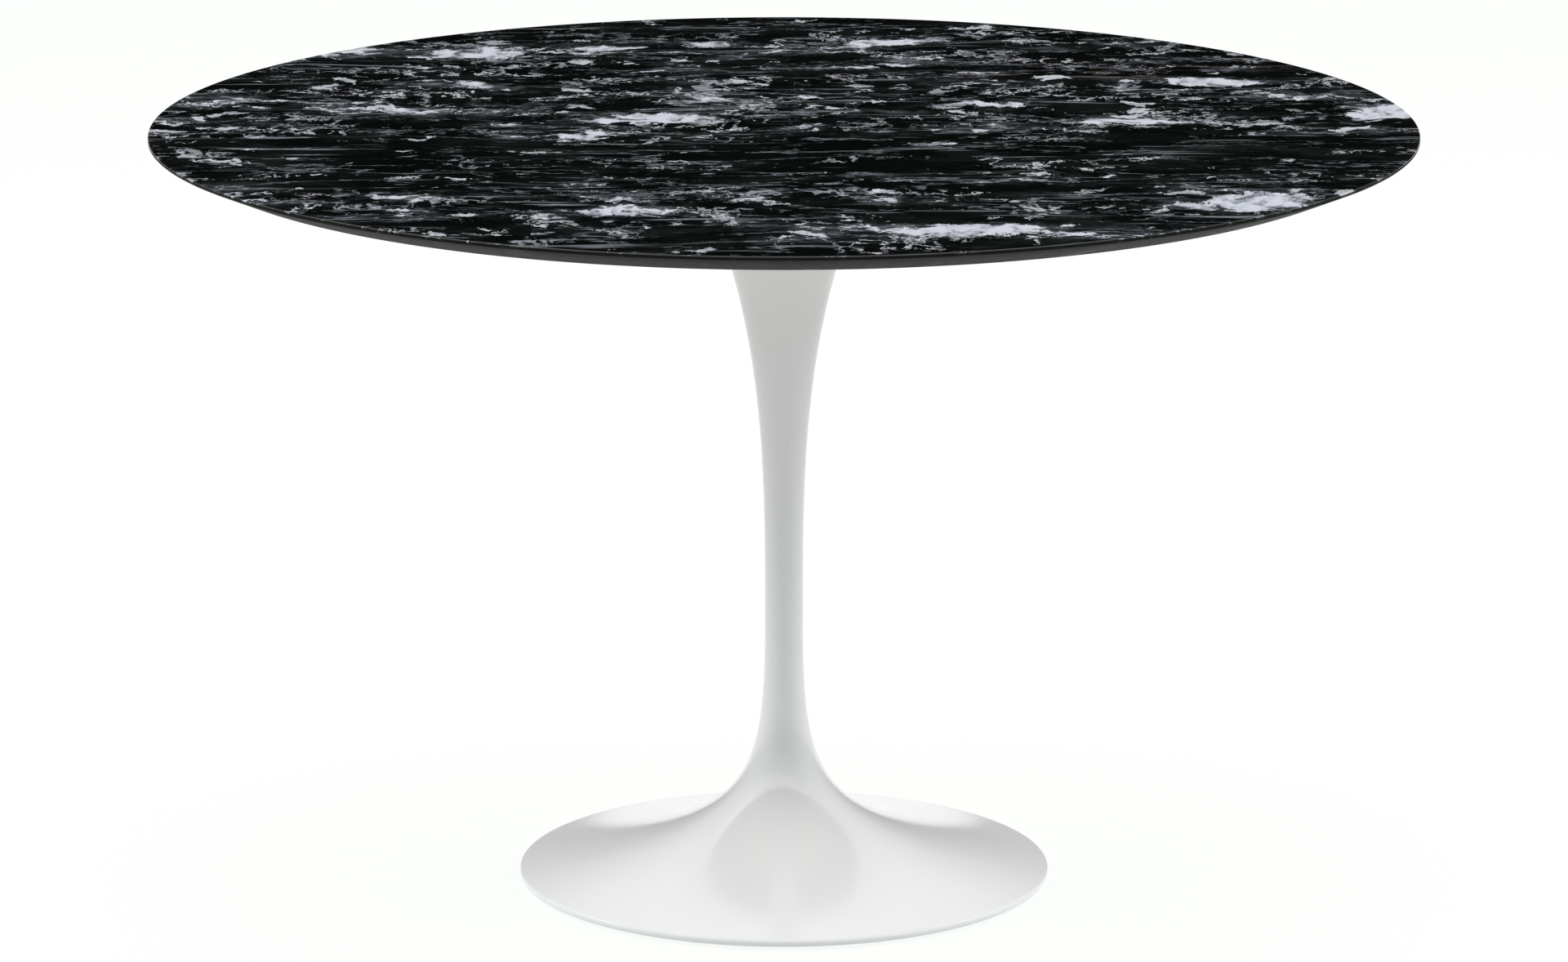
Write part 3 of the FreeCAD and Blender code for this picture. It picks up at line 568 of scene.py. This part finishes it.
def cast_aluminium():
    """Sand-cast grey with a pebbled skin, and bright turned rings on the flat that the gasket meets."""
    material, tree, shader = new_material("cast_aluminium", "cast_aluminium", Metallic=1.0)
    marks = worn(tree, 620.0, 16.0)
    place = tree.add("SeparateXYZ", {0: tree.here()}).outputs
    radius = tree.math("SQRT", tree.math("ADD", tree.math("POWER", place["X"], 2.0), tree.math("POWER", place["Y"], 2.0)))
    rings = tree.math("PINGPONG", tree.math("MULTIPLY", radius, 2500.0), 1.0)
    machined = tree.math("MULTIPLY", tree.step(radius, 0.099, 0.098), tree.step(radius, 0.026, 0.027))
    cast_height = tree.math("MULTIPLY", marks["Grain"], 1.0)
    height = tree.add("Mix", {0: machined, 2: cast_height, 3: tree.math("MULTIPLY", rings, 0.15)}).outputs[0]
    cast_colour = tree.mix(marks["Marks"], (0.44, 0.45, 0.46, 1), (0.30, 0.31, 0.31, 1))
    colour = tree.mix(machined, cast_colour, (0.70, 0.71, 0.72, 1))
    rough = tree.add("Mix", {0: machined, 2: 0.55, 3: 0.28}).outputs[0]
    tree.tree.links.new(colour, shader.inputs["Base Color"])
    tree.tree.links.new(rough, shader.inputs["Roughness"])
    tree.tree.links.new(tree.bump(height, 0.5, 0.0006), shader.inputs["Normal"])
    return material


def rubber():
    material, tree, shader = new_material("gasket_rubber", "gasket_rubber", Specular_IOR_Level=0.3)
    marks = worn(tree, 1100.0, 30.0)
    colour = tree.mix(marks["Marks"], (0.016, 0.016, 0.017, 1), (0.045, 0.043, 0.040, 1))
    tree.tree.links.new(colour, shader.inputs["Base Color"])
    tree.tree.links.new(tree.math("MULTIPLY_ADD", marks["Grain"], 0.2, 0.6), shader.inputs["Roughness"])
    tree.tree.links.new(tree.bump(marks["Grain"], 0.3, 0.0003), shader.inputs["Normal"])
    return material


BRASS = brass()
ZINC = zinc_plate("zinc_plate")
finish_node("threaded_inserts", BRASS)
finish_node("mounting_plate", cast_aluminium())
finish_node("plate_washers", ZINC)
finish_node("plate_screws", ZINC)
finish_node("head_gasket", rubber())

# ---------------------------------------------------------------------------------------------
# The pedestal: one aluminium casting, turned outside and sprayed with a high-gloss white lacquer.
# The foot is a thin dished skirt with six ribs and six bosses cast under it, and a hub in the middle.
# The neck is bored for the tie rod, and the head opens like a trumpet under the mounting plate.
# ---------------------------------------------------------------------------------------------

foot_low, foot_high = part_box("pedestal")
RIM_RADIUS = foot_high.x
RIM_UNDER = foot_low.z
HEAD_TOP = foot_high.z
RIM_TOP = RIM_UNDER + 0.006
RIM_ROUNDING = 0.0026
RIM_FLAT = 0.008
SKIRT_WALL = 0.006
NECK_RADIUS = 0.0185
NECK_BOTTOM, NECK_TOP = 0.249, 0.290
HEAD_RADIUS, HEAD_WALL = 0.090, 0.008
BELL_START, BELL_END, BELL_OFFSET = NECK_TOP + 0.120, HEAD_TOP - 0.125, 0.0025
HUB_RADIUS, HUB_SEAT = 0.032, 0.044
BORE_RADIUS = 0.009
GLIDE_COUNT = sum(name.startswith("glide_foot_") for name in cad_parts)
GLIDE_RING = RIM_RADIUS - 0.076


def bezier(poles, count):
    """Points of the curve of these poles, each weighted by its Bernstein polynomial of the parameter."""
    poles = np.asarray(poles, float)
    degree = len(poles) - 1
    at = np.linspace(0, 1, count)[:, None]
    weights = [math.comb(degree, k) * (1 - at) ** (degree - k) * at**k for k in range(degree + 1)]
    return sum(weight * pole for weight, pole in zip(weights, poles))


SKIRT = bezier(
    [
        (RIM_RADIUS, RIM_TOP),
        (RIM_RADIUS - 0.099, RIM_TOP + 0.016),
        (NECK_RADIUS + 0.0175, 0.062),
        (NECK_RADIUS, 0.080),
        (NECK_RADIUS, NECK_BOTTOM),
    ],
    120,
)
BELL = bezier(
    [
        (NECK_RADIUS, NECK_TOP),
        (NECK_RADIUS, BELL_START),
        (NECK_RADIUS + BELL_OFFSET, BELL_END),
        (HEAD_RADIUS, HEAD_TOP),
    ],
    90,
)
CEILING = bezier(
    [
        (HUB_RADIUS, 0.1045),
        (HUB_RADIUS + 0.031, 0.039),
        (RIM_RADIUS - RIM_FLAT - 0.083, RIM_UNDER + 0.018),
        (RIM_RADIUS - RIM_FLAT, RIM_UNDER),
    ],
    90,
)


def ceiling_height(radius):
    """Height of the skirt's underside at a distance from the axis."""
    return np.interp(radius, CEILING[:, 0], CEILING[:, 1])


def lacquer():
    """White lacquer: a hard clear gloss over a white coat, with the faintest ripple from the spray gun."""
    material, tree, shader = new_material("white_lacquer", "white_lacquer", IOR=1.5, Coat_Roughness=0.03)
    shader.inputs["Coat Weight"].default_value = 0.15
    place = tree.here()
    drift = tree.noise(tree.stretched(place, (5, 5, 3)), detail=3.0)
    colour = tree.mix(drift, (0.795, 0.810, 0.825, 1), (0.820, 0.832, 0.845, 1))
    dust = tree.step(tree.noise(place, scale=650.0, detail=1.0), 0.80, 0.86)
    colour = tree.mix(tree.math("MULTIPLY", dust, 0.08), colour, (0.55, 0.55, 0.53, 1))
    tree.tree.links.new(colour, shader.inputs["Base Color"])
    haze = tree.noise(place, scale=26.0, detail=4.0)
    tree.tree.links.new(tree.math("MULTIPLY_ADD", haze, 0.07, 0.10), shader.inputs["Roughness"])
    ripple = tree.noise(place, scale=190.0, detail=1.5)
    tree.tree.links.new(tree.bump(ripple, 0.02, 0.0003), shader.inputs["Normal"])
    return material


def primed_casting():
    """Under the skirt only primer and overspray reach, so the sand-cast skin shows through, dull and rough."""
    material, tree, shader = new_material("primed_casting", "white_lacquer", Specular_IOR_Level=0.4)
    marks = worn(tree, 520.0, 14.0)
    coarse = tree.noise(tree.here(), scale=240.0, detail=4.0, roughness=0.6)
    colour = tree.mix(marks["Marks"], (0.72, 0.725, 0.73, 1), (0.60, 0.605, 0.60, 1))
    colour = tree.mix(tree.step(coarse, 0.42, 0.30), colour, (0.47, 0.47, 0.46, 1))
    height = tree.math("MULTIPLY_ADD", coarse, 0.7, tree.math("MULTIPLY", marks["Grain"], 0.3))
    tree.tree.links.new(colour, shader.inputs["Base Color"])
    tree.tree.links.new(tree.math("MULTIPLY_ADD", coarse, 0.25, 0.45), shader.inputs["Roughness"])
    tree.tree.links.new(tree.bump(height, 0.45, 0.0007), shader.inputs["Normal"])
    return material


LACQUER = lacquer()
PRIMED = primed_casting()


def make_shell():
    """The turned casting as one closed profile, carried once round the axis."""
    inner_bell = bezier(
        [
            (HEAD_RADIUS - HEAD_WALL, HEAD_TOP),
            (NECK_RADIUS + BELL_OFFSET - HEAD_WALL, BELL_END),
            (BORE_RADIUS, BELL_START),
            (BORE_RADIUS, NECK_TOP),
        ],
        40,
    )
    hub = [(BORE_RADIUS, HUB_SEAT), (HUB_RADIUS, HUB_SEAT)]
    path = np.vstack([SKIRT, BELL, inner_bell, hub, CEILING, [(RIM_RADIUS, RIM_UNDER)]])
    path = eased(path, len(path) - 1, RIM_ROUNDING)
    path = np.vstack([path[1:], path[:1]])
    path = eased(path, len(path) - 1, RIM_ROUNDING)
    hub_corner = int(np.argmin(np.hypot(path[:, 0] - HUB_RADIUS, path[:, 1] - HUB_SEAT)))
    path = eased(path, hub_corner, 0.0015, steps=5)
    points, faces = turned(path, 256, closed=True)
    piece = add_piece("pedestal_casting", points, faces, [LACQUER, PRIMED])
    centres = np.empty(len(faces) * 3)
    piece.data.polygons.foreach_get("center", centres)
    centres = centres.reshape(-1, 3)
    radius = np.hypot(centres[:, 0], centres[:, 1])
    beneath = (centres[:, 2] < ceiling_height(radius) + 0.0005) & (radius < RIM_RADIUS - RIM_FLAT)
    inside = (radius < BORE_RADIUS + 0.0005) | ((radius < HUB_RADIUS + 0.0005) & (centres[:, 2] < 0.105))
    inside &= radius < NECK_RADIUS - 0.001
    piece.data.polygons.foreach_set("material_index", (beneath | inside).astype(np.int32))
    return piece


def make_ribs():
    """Six ribs in one mesh. A rib's cross-section, upright with a rounded foot, is carried out from the
    hub, and its top follows the ceiling, a little way into the wall."""
    half, foot, rounding = 0.003, RIM_UNDER + 0.007, 0.0015
    radii = np.linspace(HUB_RADIUS - 0.002, RIM_RADIUS - 0.024, 60)
    top = np.where(radii < HUB_RADIUS, 0.1045, ceiling_height(radii)) + SKIRT_WALL / 3
    top = np.maximum(top, foot + rounding + 0.0002)
    bend = np.linspace(0, np.pi / 2, 4)
    side = np.r_[-half, -half + rounding * (1 - np.cos(bend)), half - rounding * (1 - np.cos(bend[::-1])), half]
    rise = np.r_[0, rounding * (1 - np.sin(bend)), rounding * (1 - np.sin(bend[::-1])), 0]
    heights = np.tile(foot + rise, (len(radii), 1))
    heights[:, 0] = heights[:, -1] = top
    sections = np.stack([np.tile(radii[:, None], (1, len(side))), np.tile(side, (len(radii), 1)), heights], axis=2)
    points, faces = [], []
    count = len(side)
    place = np.arange(len(radii) * count).reshape(len(radii), count)
    quads = np.stack([place[:-1], np.roll(place[:-1], -1, 1), np.roll(place[1:], -1, 1), place[1:]], axis=2)
    for number in range(GLIDE_COUNT):
        angle = 2 * np.pi * number / GLIDE_COUNT
        x = sections[:, :, 0] * np.cos(angle) - sections[:, :, 1] * np.sin(angle)
        y = sections[:, :, 0] * np.sin(angle) + sections[:, :, 1] * np.cos(angle)
        start = number * len(radii) * count
        points.append(np.stack([x, y, sections[:, :, 2]], axis=2).reshape(-1, 3))
        faces += (quads.reshape(-1, 4) + start).tolist()
        faces.append((place[0][::-1] + start).tolist())
        faces.append((place[-1] + start).tolist())
    return add_piece("pedestal_ribs", np.vstack(points), faces, [PRIMED])


def make_bosses():
    """Six glide bosses in one mesh: each a tube turned about its own axis, whose top follows the ceiling."""
    bore, wall, under = 0.0055, 0.013, RIM_UNDER + 0.0064
    path = np.array([(bore, 0.0), (wall - 0.001, 0.0), (wall, 0.001), (wall, 1.0), (bore, 1.0)])
    points, faces = [], []
    for number in range(GLIDE_COUNT):
        angle = 2 * np.pi * number / GLIDE_COUNT
        centre = (GLIDE_RING * math.cos(angle), GLIDE_RING * math.sin(angle))
        ring, quads = turned(path, 48, closed=True, centre=centre)
        is_top = ring[:, 2] > 0.5
        ceiling = ceiling_height(np.hypot(ring[:, 0], ring[:, 1])) + SKIRT_WALL / 3
        ring[:, 2] = np.where(is_top, ceiling, under + ring[:, 2])
        faces += (np.array(quads) + number * len(ring)).tolist()
        points.append(ring)
    return add_piece("pedestal_bosses", np.vstack(points), faces, [PRIMED])


for piece in (make_shell(), make_ribs(), make_bosses()):
    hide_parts("pedestal")
    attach(piece, "table")

# ---------------------------------------------------------------------------------------------
# The tie rod: M16 zinc-plated steel, screwed into the plate's boss and locked there by a thin nut.
# Under the hub a heavy washer, a split spring washer and a nut pull the pedestal up to the plate.
# ---------------------------------------------------------------------------------------------

ROD_PITCH = 0.002

finish_node("tie_rod", zinc_plate("zinc_rod_thread", ROD_PITCH))
for node in ("rod_lock_nut", "clamp_washer", "spring_washer", "rod_clamp_nut"):
    finish_node(node, ZINC)

# ---------------------------------------------------------------------------------------------
# The glides: six M8 studs in brass inserts under the skirt, each with a hexagon for a thin spanner
# and a white nylon foot moulded round its lower end. Turning the stud levels the table.
# ---------------------------------------------------------------------------------------------


def nylon():
    material, tree, shader = new_material("white_nylon", "nylon", Specular_IOR_Level=0.4)
    marks = worn(tree, 700.0, 90.0)
    height = tree.add("SeparateXYZ", {0: tree.here()}).outputs["Z"]
    near_floor = tree.step(height, 0.0035, 0.0)
    grime = tree.math("MULTIPLY", tree.math("MAXIMUM", near_floor, 0.25), marks["Marks"])
    colour = tree.mix(tree.math("MULTIPLY", grime, 0.4), (0.76, 0.75, 0.71, 1), (0.38, 0.36, 0.32, 1))
    tree.tree.links.new(colour, shader.inputs["Base Color"])
    tree.tree.links.new(tree.math("MULTIPLY_ADD", marks["Grain"], 0.15, 0.38), shader.inputs["Roughness"])
    tree.tree.links.new(tree.bump(marks["Grain"], 0.15, 0.0002), shader.inputs["Normal"])
    return material


NYLON = nylon()
finish_node("glide_inserts", BRASS)
for number in range(1, GLIDE_COUNT + 1):
    finish_node(f"glide_foot_{number}", NYLON)
    finish_node(f"glide_stud_{number}", ZINC)

# ---------------------------------------------------------------------------------------------
# The studio: a white floor that fades into a white room, a big soft box on each side and an even light from above.
# What the polished stone mirrors at a low angle is a dark flag round the set, which keeps it black.
# ---------------------------------------------------------------------------------------------

ROOM_WHITE = (0.982, 1.0, 0.975, 1)
FLOOR_HALF = 30.0
FILL_LEVEL = 0.33
FLOOR_DROP = 0.0003  # keeps the glides' flat soles clear of the floor's own plane
FLOOR_GLOW = 0.40
FLOOR_SEEN_GLOW = 0.82


def make_floor():
    """A flat square like a light table, with a shadow at part strength over its own glow. It is clear from
    below, so that the underside of the table can be looked at."""
    material = bpy.data.materials.new("studio_floor")
    material.use_nodes = True
    tree = NodeTree(material.node_tree)
    material.node_tree.nodes.clear()
    paint = tree.add("BsdfDiffuse", {"Color": (0.50, 0.515, 0.51, 1)})
    glow = tree.add("Emission", {"Color": ROOM_WHITE, "Strength": 1.10})
    ray = tree.add("LightPath").outputs
    seen = tree.math("MAXIMUM", ray["Is Camera Ray"], ray["Is Glossy Ray"])
    seen = tree.math("MAXIMUM", seen, ray["Is Transmission Ray"])
    share = tree.math("MULTIPLY_ADD", seen, FLOOR_SEEN_GLOW - FLOOR_GLOW, FLOOR_GLOW)
    mixed = tree.add("MixShader", {0: share, 1: paint.outputs[0], 2: glow.outputs[0]})
    beneath = tree.math("MULTIPLY", tree.add("NewGeometry").outputs["Backfacing"], ray["Is Camera Ray"])
    clear = tree.add("BsdfTransparent")
    mixed = tree.add("MixShader", {0: beneath, 1: mixed.outputs[0], 2: clear.outputs[0]})
    out = tree.add("OutputMaterial")
    tree.tree.links.new(mixed.outputs[0], out.inputs["Surface"])
    corners = [(-1, -1, 0), (1, -1, 0), (1, 1, 0), (-1, 1, 0)]
    points = np.array(corners, float) * FLOOR_HALF - (0, 0, FLOOR_DROP)
    floor = add_piece("studio_floor", points, [(0, 1, 2, 3)], [material])


def make_room():
    """World light: white to the camera and to mirrors, apart from the flag, and a plain grey fill."""
    world = bpy.data.worlds.new("studio_room")
    bpy.context.scene.world = world
    world.use_nodes = True
    tree = NodeTree(world.node_tree)
    world.node_tree.nodes.clear()
    ray = tree.add("LightPath").outputs
    rise = tree.add("SeparateXYZ", {0: tree.add("TexCoord").outputs["Generated"]}).outputs["Z"]
    level = tree.ramp(rise, ((0.0, 1.0), (0.03, 1.0), (0.07, 0.0), (0.28, 0.0), (0.42, 0.45), (0.60, 1.0)))
    mirrored = tree.mix(level, (0, 0, 0, 1), ROOM_WHITE)
    clear = tree.math("MAXIMUM", ray["Is Camera Ray"], ray["Is Transmission Ray"])
    seen = tree.math("MAXIMUM", clear, ray["Is Glossy Ray"])
    colour = tree.mix(clear, mirrored, ROOM_WHITE)
    colour = tree.mix(seen, (FILL_LEVEL, FILL_LEVEL, FILL_LEVEL * 1.03, 1), colour)
    background = tree.add("Background", {"Color": colour, "Strength": 1.0})
    out = tree.add("OutputWorld")
    tree.tree.links.new(background.outputs[0], out.inputs["Surface"])


def soft_box(name, place, towards, width, height, power):
    """A rectangular area lamp that faces a point. Mirrors don't show it, so the polished top stays black
    from every side."""
    lamp = bpy.data.lights.new(name, "AREA")
    lamp.shape = "RECTANGLE"
    lamp.size, lamp.size_y, lamp.energy = width, height, power
    lamp_object = bpy.data.objects.new(name, lamp)
    lamp_object.visible_glossy = False
    away = np.array(place, float) - np.array(towards, float)
    lamp_object.location = place
    lamp_object.rotation_euler = (math.atan2(math.hypot(away[0], away[1]), away[2]), 0, math.atan2(away[0], -away[1]))
    bpy.context.scene.collection.objects.link(lamp_object)


def overhead_light(strength, spread):
    """An even light from above, as wide as the spread says, which lights the floor the same all over."""
    lamp = bpy.data.lights.new("overhead", "SUN")
    lamp.energy, lamp.angle = strength, spread
    lamp_object = bpy.data.objects.new("overhead", lamp)
    lamp_object.rotation_euler = (0.12, -0.10, 0)
    bpy.context.scene.collection.objects.link(lamp_object)


make_floor()
make_room()
soft_box("left_box", (-3.2, 0.2, 2.8), (0, 0, 0.2), 3.2, 2.6, 106)
soft_box("right_box", (3.2, 0.2, 2.8), (0, 0, 0.2), 3.2, 2.6, 120)
overhead_light(1.75, 1.7)

scene = bpy.context.scene
scene.view_settings.view_transform = "Standard"
